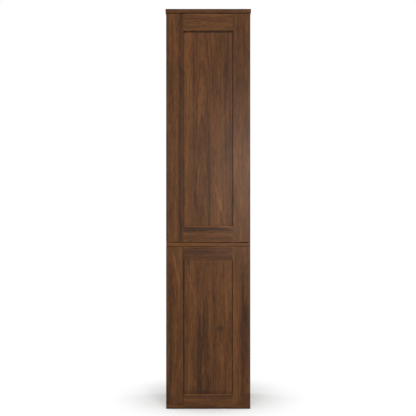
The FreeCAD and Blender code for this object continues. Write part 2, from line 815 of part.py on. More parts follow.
def make_arm(z):
    """The cranked arm: an eye on the pin, a crank out of the cup and a strap along the plate."""
    eye_low = f"{z} - Sizes.eye_length / 2"
    eye_high = f"{z} + Sizes.eye_length / 2"
    crank_y = "Places.pivot_y - Sizes.eye_radius"
    far_x = "Places.arm_x + Sizes.arm_gauge"
    pivot = ("Places.pivot_x", "Places.pivot_y", eye_low)
    eye = make_rod(pivot, "+z", "Sizes.eye_radius", "Sizes.eye_length")
    crank = make_block(
        ("Places.pivot_x", crank_y, eye_low), (far_x, f"{crank_y} + Sizes.crank_thick", eye_high)
    )
    neck = make_block(("Places.arm_x", crank_y, eye_low), (far_x, "Places.plate_front", eye_high))
    strap = make_block(
        ("Places.arm_x", "Places.plate_front", f"{z} - Sizes.arm_width / 2"),
        (far_x, "Places.plate_rear", f"{z} + Sizes.arm_width / 2"),
    )
    bore = make_rod(pivot, "+z", "Sizes.pivot_radius + Sizes.pivot_clear", "Sizes.eye_length")
    hole = make_rod(("Places.arm_x", "Places.arm_screw_y", z), "+x", screw_hole, "Sizes.arm_gauge")
    return cut_from(join([eye, crank, neck, strap]), [bore, hole])


def make_plate(z):
    """The mounting plate on the inner face of the side."""
    near_x = "-Places.side_inner"
    middle = make_block(
        (near_x, "Places.plate_front", f"{z} - Sizes.plate_width / 2"),
        ("Places.arm_x", "Places.plate_rear", f"{z} + Sizes.plate_width / 2"),
    )
    wing = make_block(
        (near_x, "Places.plate_screw_y - Sizes.plate_wing_width / 2", f"{z} - Sizes.plate_wing_length / 2"),
        (
            "Places.arm_x", "Places.plate_screw_y + Sizes.plate_wing_width / 2",
            f"{z} + Sizes.plate_wing_length / 2",
        ),
    )
    holes = [
        make_rod((near_x, "Places.plate_screw_y", f"{z} + {half}"), "+x", screw_hole, "Sizes.plate_thick")
        for half in pair("Sizes.plate_screw_gap")
    ]
    holes.append(make_rod((near_x, "Places.arm_screw_y", z), "+x", screw_hole, "Sizes.plate_thick"))
    return cut_from(join([middle, wing]), holes)


arm_screw = make_screw("Sizes.arm_screw_length")
arm_screws = []
wood_screws = []
hinge_heights = []
for bay in ("upper", "lower"):
    low = f"Places.{bay}_door_low"
    high = f"Places.{bay}_door_high"
    heights = [f"{low} + Sizes.hinge_inset", f"{high} - Sizes.hinge_inset"]
    if bay == "upper":
        heights.insert(1, f"({low} + {high}) / 2")
    pins = []
    cup_screws = []
    stile = stiles[bay, "left"]
    side = sides[bay, "left"]
    screw_x = "Places.cup_x + Sizes.wing_offset"
    drill(
        stile, "y", "Places.door_back", [("Places.cup_x", z) for z in heights],
        "Sizes.cup_radius + Sizes.fitting_clear", "Sizes.cup_depth + Sizes.fitting_clear", "-",
    )
    drill(
        stile, "y", "Places.door_back",
        [(screw_x, f"{z} + {half}") for z in heights for half in pair("Sizes.cup_screw_gap")], screw_hole,
        f"{pilot_depth} - Sizes.flange_thick", "-",
    )
    plate_halves = pair("Sizes.plate_screw_gap")
    drill(
        side, "x", "-Places.side_inner",
        [("Places.plate_screw_y", f"{z} + {half}") for z in heights for half in plate_halves],
        screw_hole, f"{pilot_depth} - Sizes.plate_thick", "-",
    )
    for z in heights:
        hinge_heights.append(z)
        number = len(hinge_heights)
        name_node(make_cup(z), f"hinge_cup_{number}")
        name_node(make_arm(z), f"hinge_arm_{number}")
        name_node(make_plate(z), f"hinge_plate_{number}")
        pins.append(make_rod(
            ("Places.pivot_x", "Places.pivot_y", f"{z} - Places.pivot_half"), "+z", "Sizes.pivot_radius",
            "2 * Places.pivot_half",
        ))
        for half in pair("Sizes.cup_screw_gap"):
            spot = (screw_x, "Places.door_back + Sizes.flange_thick", f"{z} + {half}")
            cup_screws.append(copy_of(wood_screw, spot, "-y"))
        for half in plate_halves:
            spot = ("Places.arm_x", "Places.plate_screw_y", f"{z} + {half}")
            wood_screws.append(copy_of(wood_screw, spot, "-x"))
        spot = ("Places.arm_x + Sizes.arm_gauge", "Places.arm_screw_y", z)
        arm_screws.append(copy_of(arm_screw, spot, "-x"))
    group(f"{bay}_hinge_pins", pins)
    group(f"{bay}_cup_screws", cup_screws)
group("arm_screws", arm_screws)

# Press-to-open latches: a moulded housing under a board, a sprung plunger in it and a strike on the door.


def make_housing(board_low):
    """The latch's housing: a bored block with two screw ears."""
    half = pair("Sizes.latch_width")
    block = make_block(
        (f"Places.latch_x + {half[0]}", "Places.latch_front", f"{board_low} - Sizes.latch_height"),
        (f"Places.latch_x + {half[1]}", "Places.latch_front + Sizes.latch_length", board_low),
    )
    wide = pair("Sizes.latch_ear_width")
    long = pair("Sizes.latch_ear_length")
    ears = make_block(
        (
            f"Places.latch_x + {wide[0]}", f"Places.latch_middle + {long[0]}",
            f"{board_low} - Sizes.latch_ear_thick",
        ),
        (f"Places.latch_x + {wide[1]}", f"Places.latch_middle + {long[1]}", board_low),
    )
    bore = make_rod(
        ("Places.latch_x", "Places.latch_front", f"{board_low} - Sizes.latch_drop"), "+y",
        "Sizes.plunger_radius + Sizes.plunger_clear", "Sizes.latch_bore_depth",
    )
    holes = [
        make_rod((f"Places.latch_x + {gap}", "Places.latch_middle", board_low), "-z", screw_hole,
                 "Sizes.latch_ear_thick")
        for gap in pair("Sizes.latch_screw_gap")
    ]
    return cut_from(join([block, ears]), [bore] + holes)


def make_plunger(level):
    """The plunger, with a small lead round its nose."""
    nose = make_taper(
        ("Places.latch_x", "Places.plunger_tip", level), "+y", "Sizes.plunger_radius - Sizes.plunger_nose",
        "Sizes.plunger_radius", "Sizes.plunger_nose",
    )
    stem = make_rod(
        ("Places.latch_x", "Places.plunger_tip + Sizes.plunger_nose", level), "+y", "Sizes.plunger_radius",
        "Sizes.plunger_length - Sizes.plunger_nose",
    )
    return join([nose, stem])


def make_spring(level):
    """The coil spring between the plunger and the end of its bore, one wire in quarter-turn arcs."""
    wire_radius = value("Sizes.spring_wire_radius")
    coil_radius = value("Sizes.spring_radius")
    run = value("Places.bore_end - Places.plunger_rear") - 2 * wire_radius
    quarters = 4 * int(value("Sizes.spring_turns"))

    def on_coil(quarter):
        """A point of the wire's middle line, a count of quarter turns along it."""
        angle = quarter * math.pi / 2
        rise = wire_radius + run * quarter / quarters
        return FreeCAD.Vector(coil_radius * math.cos(angle), coil_radius * math.sin(angle), rise)

    arcs = [Part.Arc(on_coil(q), on_coil(q + 0.5), on_coil(q + 1)).toShape() for q in range(quarters)]
    path = Part.Wire(arcs)
    section = Part.Circle(on_coil(0), arcs[0].tangentAt(arcs[0].FirstParameter), wire_radius)
    spring = doc.addObject("Part::Feature", "spring")
    spring.Shape = path.makePipeShell([Part.Wire(section.toShape())], True, False)
    return seat(spring, ("Places.latch_x", "Places.plunger_rear", level), "+y")


for bay, (_, board_low, _, board) in bays.items():
    level = f"{board_low} - Sizes.latch_drop"
    name_node(make_housing(board_low), f"{bay}_latch_housing")
    name_node(make_plunger(level), f"{bay}_latch_plunger")
    name_node(make_spring(level), f"{bay}_latch_spring")
    strike = make_block(
        ("Places.latch_x - Sizes.strike_width / 2", "Places.door_back", f"{level} - Sizes.strike_height / 2"),
        (
            "Places.latch_x + Sizes.strike_width / 2", "Places.door_back + Sizes.strike_thick",
            f"{level} + Sizes.strike_height / 2",
        ),
    )
    name_node(strike, f"{bay}_strike_plate")
    gaps = pair("Sizes.latch_screw_gap")
    screw_spots = [(f"Places.latch_x + {gap}", "Places.latch_middle") for gap in gaps]
    drill(board, "z", board_low, screw_spots, screw_hole, f"{pilot_depth} - Sizes.latch_ear_thick", "+")
    for x, y in screw_spots:
        wood_screws.append(copy_of(wood_screw, (x, y, f"{board_low} - Sizes.latch_ear_thick"), "+z"))

# Wall bracket: a steel angle under the top board, holed for two screws into the wall.

half_bracket = pair("Sizes.bracket_width")
flat_leg = make_block(
    (half_bracket[0], "Places.back_front - Sizes.bracket_leg", "Places.top_low - Sizes.bracket_thick"),
    (half_bracket[1], "Places.back_front", "Places.top_low"),
)
wall_leg = make_block(
    (half_bracket[0], "Places.back_front - Sizes.bracket_thick", "Places.top_low - Sizes.bracket_leg"),
    (half_bracket[1], "Places.back_front", "Places.top_low"),
)
bracket_spots = [(x, "Places.bracket_hole_y") for x in pair("Sizes.bracket_hole_gap")]
bracket_holes = [
    make_rod((x, y, "Places.top_low"), "-z", screw_hole, "Sizes.bracket_thick") for x, y in bracket_spots
]
for x in pair("Sizes.bracket_hole_gap"):
    spot = (x, "Places.back_front", "Places.bracket_hole_z")
    bracket_holes.append(make_rod(spot, "-y", "Sizes.wall_hole_radius", "Sizes.bracket_thick"))
name_node(cut_from(join([flat_leg, wall_leg]), bracket_holes), "wall_bracket")
bracket_pilot = f"{pilot_depth} - Sizes.bracket_thick"
drill(top_board, "z", "Places.top_low", bracket_spots, screw_hole, bracket_pilot, "+")
for x, y in bracket_spots:
    wood_screws.append(copy_of(wood_screw, (x, y, "Places.top_low - Sizes.bracket_thick"), "+z"))
group("wood_screws", wood_screws)

# Every piece is sound before any is written.

doc.recompute()
for item in doc.Objects:
    if "Invalid" in item.State or "Error" in item.State:
        raise ValueError(f"{item.Label} failed")
for piece in nodes:
    if piece.Shape.isNull() or not piece.Shape.isValid() or not piece.Shape.Solids:
        raise ValueError(f"{piece.Label} is not a sound solid")

os.makedirs("parts", exist_ok=True)
for piece in nodes:
    piece.Shape.exportStep(f"parts/{piece.Label}.step")
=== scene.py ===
import math

import bpy
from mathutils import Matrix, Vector


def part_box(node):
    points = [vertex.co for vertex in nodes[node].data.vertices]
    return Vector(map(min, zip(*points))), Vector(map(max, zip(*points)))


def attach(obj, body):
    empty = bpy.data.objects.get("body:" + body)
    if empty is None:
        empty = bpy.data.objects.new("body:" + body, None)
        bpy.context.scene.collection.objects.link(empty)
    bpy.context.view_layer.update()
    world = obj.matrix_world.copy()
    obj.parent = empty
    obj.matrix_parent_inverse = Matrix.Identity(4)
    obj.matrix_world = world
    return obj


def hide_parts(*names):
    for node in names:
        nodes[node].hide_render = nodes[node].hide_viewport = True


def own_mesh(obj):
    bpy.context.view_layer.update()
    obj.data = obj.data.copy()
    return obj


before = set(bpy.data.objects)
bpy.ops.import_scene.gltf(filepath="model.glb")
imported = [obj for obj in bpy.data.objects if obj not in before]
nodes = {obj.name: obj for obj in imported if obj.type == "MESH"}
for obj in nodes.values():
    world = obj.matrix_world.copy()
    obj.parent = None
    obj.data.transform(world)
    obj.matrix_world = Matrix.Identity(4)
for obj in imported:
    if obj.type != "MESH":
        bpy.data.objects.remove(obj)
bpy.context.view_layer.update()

# Full-width boards: the top, the middle and the bottom of the carcass, 18 mm board faced and edged with
# walnut veneer whose grain runs from side to side. Cams and dowels hold them to the sides, and their front
# edges show above, between and below the doors.


def linear(code):
    """An sRGB hex colour as linear light."""
    shares = [int(code[start:start + 2], 16) / 255 for start in (1, 3, 5)]
    curve = [share / 12.92 if share <= 0.04045 else ((share + 0.055) / 1.055) ** 2.4 for share in shares]
    return (*curve, 1)


def add(tree, kind, inputs, **settings):
    """A node with its settings, and its inputs set or linked."""
    node = tree.nodes.new(kind)
    for name, setting in settings.items():
        setattr(node, name, setting)
    for key, content in inputs.items():
        if isinstance(content, bpy.types.NodeSocket):
            tree.links.new(content, node.inputs[key])
        else:
            node.inputs[key].default_value = content
    return node


def start_material(name):
    """A new material, its node tree and its shader."""
    material = bpy.data.materials.new(name)
    material.use_nodes = True
    return material, material.node_tree, material.node_tree.nodes["Principled BSDF"]


def surface(tree, shader, colour, rough, height, strength, depth):
    """Give the shader its colour, its roughness and a relief of some depth in metres."""
    relief = add(tree, "ShaderNodeBump", {
        "Strength": strength, "Distance": depth, "Height": height,
    }).outputs[0]
    tree.links.new(colour, shader.inputs["Base Color"])
    tree.links.new(rough, shader.inputs["Roughness"])
    tree.links.new(relief, shader.inputs["Normal"])


def dress(node, material):
    """Give a piece its finish."""
    piece = nodes[node]
    piece.data.materials.clear()
    piece.data.materials.append(material)


# Walnut heartwood, sliced to veneer and lacquered satin: mid brown, between dark veins and a paler side.
walnut_tones = ((0.0, "#342112"), (0.25, "#472C18"), (0.5, "#59381E"), (0.75, "#684425"), (1.0, "#7A5231"))
warm_hues = (0.495, 0.503)
richness = 1.02
lacquer_rough = (0.26, 0.36)
lacquer_gloss = 0.13
# The grain's relief under the lacquer: how strong it is, and its depth in metres.
grain_strength = 0.25
grain_depth = 0.0002
# Pores open where their pattern is above the first level, and are as dark as they get above the second.
pore_tone = "#2A1C15"
pore_levels = (0.6, 0.72)
pore_share = 0.6
# The grain's sway, clouds, stripes, flecks, fibres and pores: width across the grain and length along it in
# mm, and the noise's detail. Real pores are 0.2 mm wide, and are drawn at 0.7 mm so that they show.
walnut_patterns = {
    "sway": (120, 700, 1),
    "cloud": (34, 150, 2),
    "stripe": (10, 240, 2),
    "fleck": (5, 28, 2),
    "fibre": (1.5, 60, 2),
    "pore": (0.7, 9, 1),
}
# The step from one leaf to the next in those patterns, and how far the sway bends the grain, both in metres.
leaf_step = (1.3, 2.1, 3.7)
sway_reach = (0.01, 0.03, 0)
# Year rings and the heartwood's bands of colour in mm, the lean of the log's heart in degrees, and how
# sharply a ring darkens towards its late wood.
year_ring = 5.0
heart_band = 31.0
heart_lean = -1.2
late_rise = 4
# The share of each streak and painted patch, from its middle, that has its full tone, and a depth that goes
# right through any leaf.
patch_core = 0.4
patch_depth = 1000
# The width in metres of the painted shade and highlight along an arris, and the share of it, from the edge,
# that has its full tone.
arris_shade_width = 0.0045
arris_shade_core = 0.6
# The range that nearly all of a noise lies in.
usual = {"From Min": 0.3, "From Max": 0.7}


def walnut(
    node, axes, leaf, tone=0.5, veins_and_painted_light=(), arris_shading=(-0.12, -0.12), hidden=0, pith=(0, 70), figure=0.12,
):
    """Sliced walnut veneer under satin lacquer: streaks, arched year rings, short dark pores and a low
    sheen, with painted shade and painted highlights.

    The axes run across the leaf, into it and along its grain. Each streak is its place across, half its
    width, its middle along the grain and half its length in mm, its slant in degrees, and how much lighter
    it is; most are the grain's own streaks, and some are painted shade and painted highlights. The two edge
    tones are how much lighter the leaf's low and high edges are, past the mm hidden in a groove: painted
    shade where they are darker and a painted highlight where they are lighter. The pith is the middle of the
    year rings in mm, across the leaf and under it, and the figure is how dark their late wood is.
    """
    material, tree, shader = start_material(f"walnut_veneer_{node}")
    spans = dict(zip("XYZ", zip(*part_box(node))))
    middle = [sum(spans[key]) / 2 for key in axes]
    seen = add(tree, "ShaderNodeTexCoord", {}).outputs["Object"]
    sides = add(tree, "ShaderNodeSeparateXYZ", {0: seen}).outputs
    turned = {index: sides[key] for index, key in enumerate(axes)}
    spot = add(tree, "ShaderNodeCombineXYZ", turned).outputs[0]
    shift = [leaf * step for step in leaf_step]
    own = add(tree, "ShaderNodeVectorMath", {0: spot, 1: shift}).outputs[0]
    fields = {}
    for key, (wide, long, detail) in walnut_patterns.items():
        scales = (1000 / wide, 1000 / wide, 1000 / long)
        scaled = add(tree, "ShaderNodeVectorMath", {0: own, 1: scales}, operation="MULTIPLY").outputs[0]
        noise = add(tree, "ShaderNodeTexNoise", {"Vector": scaled, "Scale": 1, "Detail": detail})
        fields[key] = noise.outputs
    sway = add(tree, "ShaderNodeVectorMath", {
        0: fields["sway"][1], 1: (0.5, 0.5, 0.5),
    }, operation="SUBTRACT").outputs[0]
    bent = add(tree, "ShaderNodeVectorMath", {
        0: sway, 1: sway_reach, 2: spot,
    }, operation="MULTIPLY_ADD").outputs[0]
    centred = add(tree, "ShaderNodeVectorMath", {0: bent, 1: middle}, operation="SUBTRACT").outputs[0]
    ring_spot = add(tree, "ShaderNodeMapping", {
        0: centred,
        "Location": (pith[0] / 1000, pith[1] / 1000, 0),
        "Rotation": (math.radians(heart_lean), 0, 0),
    }).outputs[0]
    flat = add(tree, "ShaderNodeVectorMath", {0: ring_spot, 1: (1, 1, 0)}, operation="MULTIPLY").outputs[0]
    radius = add(tree, "ShaderNodeVectorMath", {0: flat}, operation="LENGTH").outputs["Value"]
    years = add(tree, "ShaderNodeTexNoise", {
        "W": radius, "Scale": 1000 / (3 * year_ring), "Detail": 3,
    }, noise_dimensions="1D").outputs[0]
    count = add(tree, "ShaderNodeMath", {0: radius, 1: 1000 / year_ring}, operation="MULTIPLY").outputs[0]
    ring = add(tree, "ShaderNodeMath", {0: count}, operation="FRACT").outputs[0]
    late_wood = add(tree, "ShaderNodeMath", {0: ring, 1: late_rise}, operation="POWER").outputs[0]
    drift = add(tree, "ShaderNodeMath", {
        0: radius, 1: 1000 / heart_band, 2: fields["cloud"][0],
    }, operation="MULTIPLY_ADD").outputs[0]
    band = add(tree, "ShaderNodeMath", {0: drift}, operation="FRACT").outputs[0]
    # How much each pattern lightens the wood, and the pattern's mean.
    shares = (
        (years, 0.4, 0.5),
        (fields["cloud"][0], 0.45, 0.5),
        (fields["stripe"][0], 0.5, 0.5),
        (fields["fleck"][0], 0.6, 0.5),
        (fields["fibre"][0], 0.6, 0.5),
        (band, 0.12, 0.5),
        (late_wood, -figure, 1 / (late_rise + 1)),
    )
    total = tone - sum(share * mean for _, share, mean in shares)
    for source, share, _ in shares:
        total = add(tree, "ShaderNodeMath", {
            0: source, 1: share, 2: total,
        }, operation="MULTIPLY_ADD").outputs[0]
    # Streaks of the grain, and patches of painted shade and painted highlight, each a soft oval.
    for place, half_width, along, half_length, slant, lighter in veins_and_painted_light:
        within = add(tree, "ShaderNodeMapping", {
            0: bent,
            "Location": (place / 1000, 0, along / 1000),
            "Rotation": (0, math.radians(slant), 0),
            "Scale": (half_width / 1000, patch_depth, half_length / 1000),
        }, vector_type="TEXTURE").outputs[0]
        away = add(tree, "ShaderNodeVectorMath", {0: within}, operation="LENGTH").outputs["Value"]
        patch_tone = add(tree, "ShaderNodeMapRange", {
            "Value": away, "From Min": patch_core, "To Min": lighter, "To Max": 0,
        }, interpolation_type="SMOOTHSTEP").outputs[0]
        total = add(tree, "ShaderNodeMath", {0: total, 1: patch_tone}).outputs[0]
    # Painted shade and painted highlights along the leaf's two edges across the grain.
    low, high = spans[axes[0]]
    arris_bands = (
        (low + hidden / 1000, arris_shade_width, arris_shading[0]),
        (high - hidden / 1000, -arris_shade_width, arris_shading[1]),
    )
    for edge, inward, lighter in arris_bands:
        arris_tone = add(tree, "ShaderNodeMapRange", {
            "Value": sides[axes[0]],
            "From Min": edge + inward,
            "From Max": edge + inward * arris_shade_core,
            "To Max": lighter,
        }, interpolation_type="SMOOTHSTEP").outputs[0]
        total = add(tree, "ShaderNodeMath", {0: total, 1: arris_tone}).outputs[0]
    # The ramp starts with two stops of its own.
    ramp = add(tree, "ShaderNodeValToRGB", {0: total})
    for index, (place, code) in enumerate(walnut_tones):
        stop = ramp.color_ramp.elements[index] if index < 2 else ramp.color_ramp.elements.new(place)
        stop.position = place
        stop.color = linear(code)
    warmth = add(tree, "ShaderNodeSeparateColor", {0: fields["cloud"][1]}).outputs[1]
    hue = add(tree, "ShaderNodeMapRange", {
        "Value": warmth, **usual, "To Min": warm_hues[0], "To Max": warm_hues[1],
    }).outputs[0]
    warm = add(tree, "ShaderNodeHueSaturation", {
        "Hue": hue, "Saturation": richness, "Color": ramp.outputs[0],
    }).outputs[0]
    pore = add(tree, "ShaderNodeMapRange", {
        "Value": fields["pore"][0],
        "From Min": pore_levels[0],
        "From Max": pore_levels[1],
        "To Max": pore_share,
    }).outputs[0]
    colour = add(tree, "ShaderNodeMix", {
        0: pore, 6: warm, 7: linear(pore_tone),
    }, data_type="RGBA").outputs[2]
    rough = add(tree, "ShaderNodeMapRange", {
        "Value": fields["fibre"][0], **usual, "To Min": lacquer_rough[0], "To Max": lacquer_rough[1],
    }).outputs[0]
    height = add(tree, "ShaderNodeMath", {0: fields["fibre"][0], 1: pore}, operation="SUBTRACT").outputs[0]
    surface(tree, shader, colour, rough, height, grain_strength, grain_depth)
    shader.inputs["Specular IOR Level"].default_value = lacquer_gloss
    dress(node, material)
    return tree, shader, seen


# Painted shade darkens the top board's front and rear edges and the bottom board's foot; painted light
# brightens the middle board's front and the bottom board's top edge.
walnut("top_board", "YZX", 1, 0.42, arris_shading=(-0.16, -0.1))
walnut("mid_board", "YZX", 2, 0.48, arris_shading=(0.05, 0))
walnut("bottom_board", "ZYX", 3, 0.4, arris_shading=(-0.35, 0.1), pith=(90, 60))

# Sides: four standing boards of the same veneered stuff, grain upright. They are rebated at the rear for
# the backs and bored inside for dowels, cams, shelf pins and the screws of the hinge plates.
side_boards = ("upper_side_left", "upper_side_right", "lower_side_left", "lower_side_right")
# Their front and rear edges carry a little painted shade.
for leaf, side in enumerate(side_boards, 4):
    walnut(side, "YXZ", leaf, 0.5, pith=(90, 60))

# Dowels: 8 mm pegs of turned beech, glued half in the boards and half in the ends of the sides, where they
# keep the joints from shifting. Beech gives a pale pinkish brown with short darker flecks along the peg.
material, tree, shader = start_material("turned_beech")
beech_tones = ((0.35, "#A87F55"), (0.6, "#CBA276"))
beech_rough = (0.55, 0.7)
fleck_width = 0.8
fleck_length = 3.0
fleck_scales = (1000 / fleck_width, 1000 / fleck_width, 1000 / fleck_length)
seen = add(tree, "ShaderNodeTexCoord", {}).outputs["Object"]
flecks = add(tree, "ShaderNodeVectorMath", {0: seen, 1: fleck_scales}, operation="MULTIPLY").outputs[0]
fleck = add(tree, "ShaderNodeTexNoise", {"Vector": flecks, "Scale": 1, "Detail": 2}).outputs[0]
ramp = add(tree, "ShaderNodeValToRGB", {0: fleck})
for stop, (place, code) in zip(ramp.color_ramp.elements, beech_tones):
    stop.position = place
    stop.color = linear(code)
rough = add(tree, "ShaderNodeMapRange", {
    "Value": fleck, "To Min": beech_rough[0], "To Max": beech_rough[1],
}).outputs[0]
tree.links.new(ramp.outputs[0], shader.inputs["Base Color"])
tree.links.new(rough, shader.inputs["Roughness"])
dress("dowels", material)

# Carcass fittings: bolts of zinc-plated steel screwed into the boards, and cams of die-cast zinc let into
# the inner faces of the sides, which turn to draw the bolts' heads in. Back screws, wood screws and the wall
# bracket under the top board are plated as the bolts are.
metal_relief = 0.0001


def metal(name, colour, dark, grain, rough, relief):
    """A bare or plated metal: a mottle of two greys, an uneven gloss and a fine relief, its grain in mm."""
    material, tree, shader = start_material(name)
    cloud = 8 * grain
    seen = add(tree, "ShaderNodeTexCoord", {}).outputs["Object"]
    grit = add(tree, "ShaderNodeTexNoise", {"Vector": seen, "Scale": 1000 / grain, "Detail": 3}).outputs[0]
    mottle = add(tree, "ShaderNodeTexNoise", {"Vector": seen, "Scale": 1000 / cloud, "Detail": 2}).outputs[0]
    share = add(tree, "ShaderNodeMapRange", {"Value": mottle, **usual}).outputs[0]
    tint = add(tree, "ShaderNodeMix", {
        0: share, 6: linear(dark), 7: linear(colour),
    }, data_type="RGBA").outputs[2]
    gloss = add(tree, "ShaderNodeMapRange", {
        "Value": grit, **usual, "To Min": rough[0], "To Max": rough[1],
    }).outputs[0]
    surface(tree, shader, tint, gloss, grit, relief, metal_relief)
    shader.inputs["Metallic"].default_value = 1
    return material


# Bright zinc on turned or folded steel: a cool, slightly cloudy silver. Its fine crystals are drawn at
# 0.6 mm to show.
zinc_plate = metal("zinc_plated_steel", "#C9CCCE", "#B8BCC0", 0.6, (0.24, 0.36), 0.1)
for node in ("cam_bolts", "back_screws", "wood_screws", "wall_bracket"):
    dress(node, zinc_plate)
# Zinc as it leaves the die: duller, grainy and a little darker. Its 0.3 mm grain is drawn at 1 mm to show.
cast_zinc = metal("die_cast_zinc", "#A9ABAD", "#8B8E92", 1.0, (0.42, 0.58), 0.5)
dress("cam_locks", cast_zinc)

# Backs: two sheets of 5 mm hardboard screwed into the rebates of the sides. The inner face is veneered to
# match the boards. The rear face is bare: a plain brown felt of pressed fibres, with no grain.
hardboard_tones = ("#6A4C36", "#876749")
hardboard_rough = 0.78
# The felt and its blotches in mm, the blotches' share, and the range of both together.
felt_size = 2.5
blotch_size = 25
blotch_share = 0.35
felt_range = (0.4, 0.95)
# The bare face lies behind this depth, in metres.
bare_from = 0.192
for leaf, node in enumerate(("back_upper", "back_lower"), 12):
    tree, shader, seen = walnut(node, "XYZ", leaf, 0.48, arris_shading=(0, 0))
    felt = add(tree, "ShaderNodeTexNoise", {
        "Vector": seen, "Scale": 1000 / felt_size, "Detail": 4,
    }).outputs[0]
    blotch = add(tree, "ShaderNodeTexNoise", {
        "Vector": seen, "Scale": 1000 / blotch_size, "Detail": 2,
    }).outputs[0]
    mixed = add(tree, "ShaderNodeMath", {
        0: blotch, 1: blotch_share, 2: felt,
    }, operation="MULTIPLY_ADD").outputs[0]
    share = add(tree, "ShaderNodeMapRange", {
        "Value": mixed, "From Min": felt_range[0], "From Max": felt_range[1],
    }).outputs[0]
    dark, pale = (linear(code) for code in hardboard_tones)
    fibre = add(tree, "ShaderNodeMix", {0: share, 6: dark, 7: pale}, data_type="RGBA").outputs[2]
    depth = add(tree, "ShaderNodeSeparateXYZ", {0: seen}).outputs["Y"]
    bare = add(tree, "ShaderNodeMath", {0: depth, 1: bare_from}, operation="GREATER_THAN").outputs[0]
    veneer = shader.inputs["Base Color"].links[0].from_socket
    lacquer = shader.inputs["Roughness"].links[0].from_socket
    colour = add(tree, "ShaderNodeMix", {0: bare, 6: veneer, 7: fibre}, data_type="RGBA").outputs[2]
    rough = add(tree, "ShaderNodeMix", {0: bare, 2: lacquer, 3: hardboard_rough}).outputs[0]
    tree.links.new(colour, shader.inputs["Base Color"])
    tree.links.new(rough, shader.inputs["Roughness"])

# Floor glides: four round pads of black polyethylene pressed into the bottom board, a millimetre proud of
# it. Moulded smooth, they have dulled and scuffed where they have slid.
mould_relief = 0.0001


def moulded(name, colour, dark, grain, rough, relief):
    """A plastic, moulded or turned: one colour with a faint flow mottle, and a fine matt grain in mm."""
    material, tree, shader = start_material(name)
    stream = 12 * grain
    seen = add(tree, "ShaderNodeTexCoord", {}).outputs["Object"]
    grit = add(tree, "ShaderNodeTexNoise", {"Vector": seen, "Scale": 1000 / grain, "Detail": 2}).outputs[0]
    flow = add(tree, "ShaderNodeTexNoise", {"Vector": seen, "Scale": 1000 / stream, "Detail": 1}).outputs[0]
    tint = add(tree, "ShaderNodeMix", {
        0: flow, 6: linear(dark), 7: linear(colour),
    }, data_type="RGBA").outputs[2]
    gloss = add(tree, "ShaderNodeMapRange", {
        "Value": grit, **usual, "To Min": rough[0], "To Max": rough[1],
    }).outputs[0]
    surface(tree, shader, tint, gloss, grit, relief, mould_relief)
    return material


# Polyethylene, black right through: soft, waxy and dull. Its fine scuffs are drawn at 0.8 mm to show.
glide_plastic = moulded("black_polyethylene", "#1C1C1C", "#121212", 0.8, (0.45, 0.7), 0.4)
dress("floor_glides", glide_plastic)

# Shelves: four loose 16 mm boards, veneered all round, grain from side to side. Each lies on four stamped
# pins of nickel-plated steel, pushed into rows of 5 mm holes.
shelves = ("upper_shelf_1", "upper_shelf_2", "upper_shelf_3", "lower_shelf")
# Their front and rear edges carry a little painted shade.
for leaf, shelf in enumerate(shelves, 8):
    walnut(shelf, "YZX", leaf, 0.5)
# Bright nickel on pressed steel: a warm silver with a soft, uneven shine. Its fine ripple is drawn at 0.5 mm
# to show.
nickel_plate = metal("nickel_plated_steel", "#D0CBC1", "#C5C0B5", 0.5, (0.28, 0.36), 0.03)
dress("shelf_pins", nickel_plate)

# Concealed hinges: a cup of drawn steel let into the door's stile, a cranked arm, and a plate screwed to the
# side. All are pressed from sheet, joined by a pin, and nickel plated with their screws.
for number in range(1, 6):
    for part in ("cup", "arm", "plate"):
        dress(f"hinge_{part}_{number}", nickel_plate)
for node in ("upper_hinge_pins", "lower_hinge_pins", "upper_cup_screws", "lower_cup_screws", "arm_screws"):
    dress(node, nickel_plate)

# Upper door: two upright stiles, two rails tongued between them and a flat panel that floats in their
# grooves, all veneered, each leaf with its grain along the piece. The inner edges are bevelled; painted
# shade lies along some of them and a painted highlight along others.
panel_groove = 9
walnut("upper_stile_left", "XYZ", 14, 0.43, (
    (-124, 14, 1290, 1200, 0, -0.28),
    # Painted shade along the door's outer left edge.
    (-188, 10, 1290, 1200, 0, -0.12),
    (-152, 12, 1560, 260, 0, 0.1),
    (-150, 10, 830, 150, 0, 0.15),
    (-162, 26, 1500, 150, 0, -0.12),
    (-177, 17, 885, 75, 0, -0.13),
), arris_shading=(-0.2, -0.1), pith=(120, 60))
walnut("upper_stile_right", "XYZ", 15, 0.4, (
    # A paler patch, partly the wood's own tone and partly a painted sheen where the soft box's reflection
    # falls.
    (146, 60, 1030, 400, 0, 0.2),
    (150, 60, 1680, 260, 0, -0.1),
    (116, 8, 960, 90, 0, -0.2),
    (133, 15, 1310, 90, 0, -0.13),
    (133, 15, 845, 120, 0, -0.12),
), arris_shading=(0, -0.1), pith=(-120, 60))
walnut("upper_rail_top", "ZYX", 16, 0.46, arris_shading=(-0.18, -0.08), pith=(90, 60))
walnut("upper_rail_bottom", "ZYX", 17, 0.47, (
    (822, 17, -110, 300, 0, -0.38),
), arris_shading=(0.05, 0.3), pith=(90, 60))
walnut("upper_panel", "XYZ", 18, 0.5, (
    (-58, 12, 1250, 800, 0, -0.05),
    (-30, 52, 1250, 1000, 0, -0.08),
    (-3, 15, 1250, 800, 0, -0.1),
    (6, 10, 990, 330, 0, -0.28),
    (40, 18, 940, 330, 0, 0.16),
    (88, 24, 1250, 700, 0, -0.16),
    (85, 40, 1000, 260, 0, 0.08),
    (60, 60, 1600, 300, 0, -0.18),
    (-84, 16, 1560, 330, 0, 0.16),
    (-52, 9, 1350, 200, 0, -0.14),
    # Painted shade along the panel's right edge, in the right stile's shadow.
    (104, 15, 1000, 420, 0, -0.14),
    # A painted shadow across the top of the panel, under the top rail.
    (0, 400, 1726, 6, 0, -0.4),
    (-56, 9, 1030, 260, 3, -0.14),
    (49, 9, 951, 140, -14, 0.13),
), arris_shading=(0, -0.5), hidden=panel_groove, pith=(24, 70), figure=0.25)
